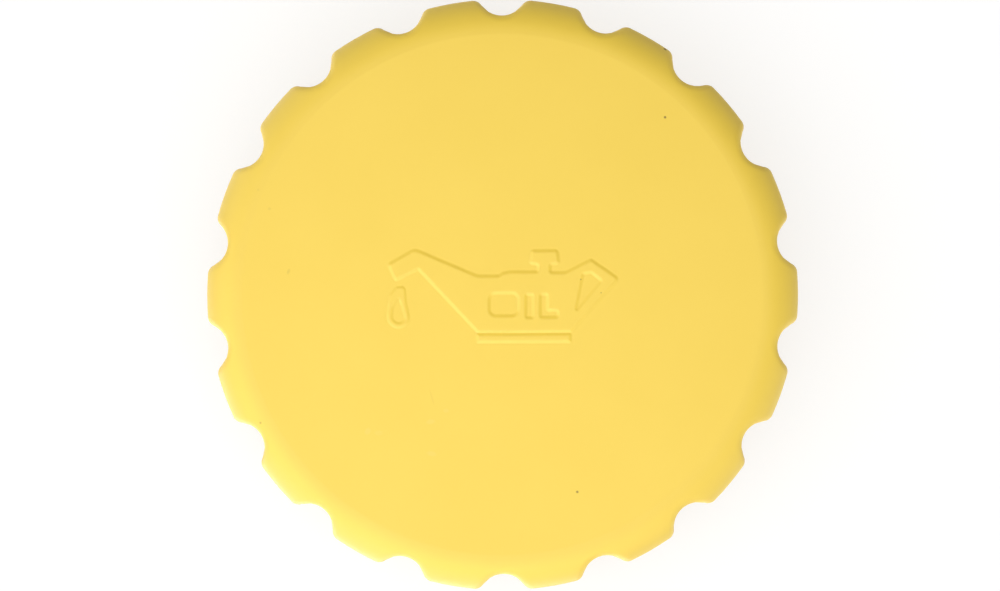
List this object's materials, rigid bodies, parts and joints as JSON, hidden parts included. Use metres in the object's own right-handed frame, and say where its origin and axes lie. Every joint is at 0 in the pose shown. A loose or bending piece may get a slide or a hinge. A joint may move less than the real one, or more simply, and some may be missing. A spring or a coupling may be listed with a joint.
{
  "type": "oil filler cap",
  "caption": "Round screw-in oil filler cap: scalloped grip skirt with a flat top, hollow plug and a flat rubber gasket that seals an engine's oil filler neck.",
  "frame": {"origin": "centre of the plug's lower end, on the cap's axis, where the cap stands on a surface", "axes": "+Z along the cap's axis towards the flat top, +X through the middle of a grip tooth on the right of the sign as it is read, +Y through a notch on the sign's upper side"},
  "size_m": [0.07, 0.0696, 0.024],
  "materials": {
    "cap_plastic": "satin yellow moulded plastic",
    "gasket_rubber": "matt black rubber"
  },
  "bodies": {
    "root": {"cap_body": "cap_plastic", "sealing_gasket": "gasket_rubber"}
  },
  "joints": []
}
